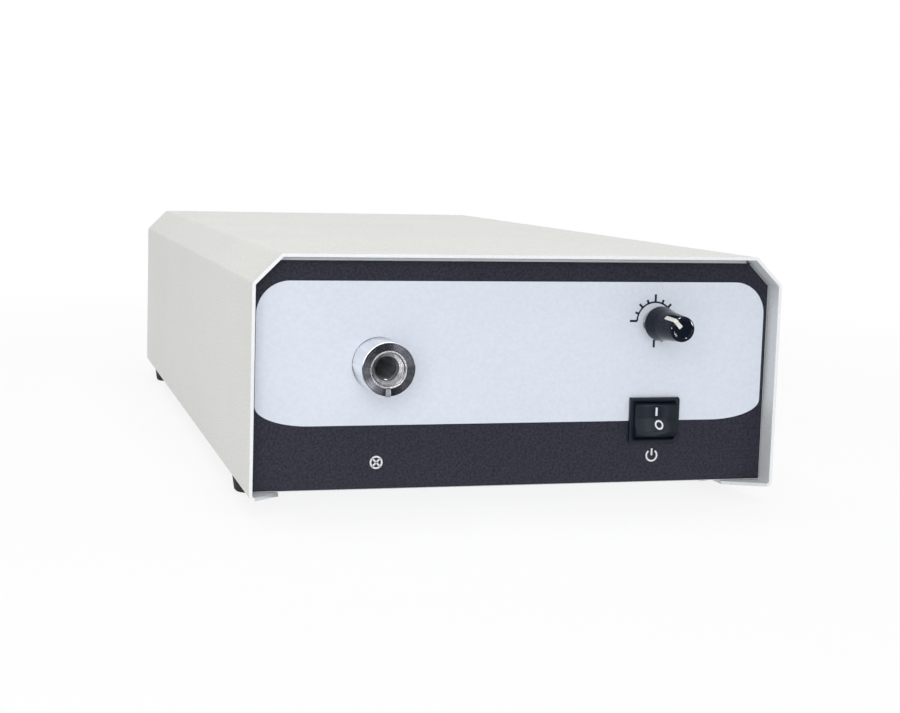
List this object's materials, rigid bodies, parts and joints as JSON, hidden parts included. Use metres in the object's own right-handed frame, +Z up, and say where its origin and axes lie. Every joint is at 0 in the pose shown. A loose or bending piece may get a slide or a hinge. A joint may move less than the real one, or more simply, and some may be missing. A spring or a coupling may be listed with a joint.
{
  "type": "fiber optic illuminator",
  "caption": "Bench halogen light source in a folded steel case, with a light guide port, a dimmer knob and a power rocker on its front panel.",
  "frame": {"origin": "on the table, under the middle of the object's box, which runs from the knob's tip to the case's rear edge", "axes": "+X to the right seen from the front, +Y to the back, +Z up"},
  "size_m": [0.25, 0.4814, 0.1165],
  "materials": {
    "powder_coat": "fine powder coat, warm light grey",
    "panel_paint": "white powder coat",
    "label_film": "textured charcoal film with a white field",
    "zinc_sheet": "zinc-plated sheet",
    "screw_steel": "zinc-plated",
    "foot_rubber": "matt",
    "port_steel": "turned and polished",
    "ball_steel": "ground",
    "spring_steel": "drawn wire",
    "knob_plastic": "glossy black",
    "pointer_plastic": "white",
    "switch_plastic": "satin black",
    "tab_brass": "tinned",
    "mirror_glass": "dichroic coating",
    "quartz": "clear",
    "heat_glass": "pale green",
    "ceramic": "unglazed",
    "aluminium": "plain",
    "toroid_tape": "amber polyester tape over copper and steel",
    "board_laminate": "green solder mask",
    "black_epoxy": "matt",
    "capacitor_skin": "satin",
    "terminal_plastic": "satin",
    "ferrite": "matt",
    "fan_plastic": "satin black",
    "inlet_plastic": "satin black",
    "fuse_glass": "clear",
    "fuse_metal": "plated",
    "wire_pvc": "satin"
  },
  "bodies": {
    "housing": {"wrap_cover": "powder_coat", "base_tray": "zinc_sheet", "front_panel": "panel_paint", "front_label": "label_film", "rear_panel": "panel_paint", "feet": "foot_rubber", "foot_screws": "screw_steel", "rear_panel_screws": "screw_steel", "m4_nuts": "screw_steel", "m3_nuts": "screw_steel", "earth_stud": "screw_steel", "earth_tag": "tab_brass", "port_body": "port_steel", "port_sleeve": "port_steel", "port_nut": "port_steel", "detent_spring": "spring_steel", "detent_grub_screw": "screw_steel", "pot_body": "screw_steel", "pot_washer": "screw_steel", "pot_nut": "screw_steel", "switch_housing": "switch_plastic", "switch_terminals": "tab_brass", "lamp_bracket": "zinc_sheet", "bracket_screws": "screw_steel", "filter_ring": "aluminium", "heat_filter": "heat_glass", "filter_screws": "screw_steel", "lamp_reflector": "mirror_glass", "lamp_bulb": "quartz", "lamp_pins": "screw_steel", "lamp_socket": "ceramic", "lamp_clips": "spring_steel", "transformer_toroid": "toroid_tape", "transformer_pads": "foot_rubber", "transformer_dish": "zinc_sheet", "transformer_bolt": "screw_steel", "transformer_nut": "screw_steel", "control_board": "board_laminate", "board_standoffs": "aluminium", "board_screws": "screw_steel", "heat_sink": "aluminium", "triac": "black_epoxy", "capacitors": "capacitor_skin", "terminal_block": "terminal_plastic", "choke": "ferrite", "fan_frame": "fan_plastic", "fan_screws": "screw_steel", "inlet_body": "inlet_plastic", "inlet_pins": "tab_brass", "inlet_screws": "screw_steel", "wiring": "wire_pvc"},
    "knob": {"dimmer_knob": "knob_plastic", "knob_pointer": "pointer_plastic", "pot_shaft": "aluminium"},
    "rocker": {"switch_rocker": "switch_plastic"},
    "rotor": {"fan_rotor": "fan_plastic"},
    "drawer": {"fuse_drawer": "inlet_plastic", "fuse_glass": "fuse_glass", "fuse_caps": "fuse_metal"},
    "ball": {"detent_ball": "ball_steel"}
  },
  "joints": [
    {"name": "knob_turn", "type": "hinge", "parent": "housing", "child": "knob", "pos_m": [0.0659, -0.21025, 0.0854], "axis": [0, 1, 0], "range_deg": [-45, 225]},
    {"name": "rocker_tilt", "type": "hinge", "parent": "housing", "child": "rocker", "pos_m": [0.0672, -0.20945, 0.0394], "axis": [1, 0, 0], "range_deg": [0, 28]},
    {"name": "fan_spin", "type": "hinge", "parent": "housing", "child": "rotor", "pos_m": [-0.0659, 0.21825, 0.06875], "axis": [0, 1, 0], "continuous": true},
    {"name": "fuse_drawer_slide", "type": "slide", "parent": "housing", "child": "drawer", "axis": [0, 1, 0], "range_m": [0, 0.024]},
    {"name": "detent_press", "type": "slide", "parent": "housing", "child": "ball", "axis": [0, 0, -1], "range_m": [0, 0.0005], "stiffness_N_per_m": 1500, "springref_m": -0.0005, "deforming": ["detent_spring"]}
  ]
}
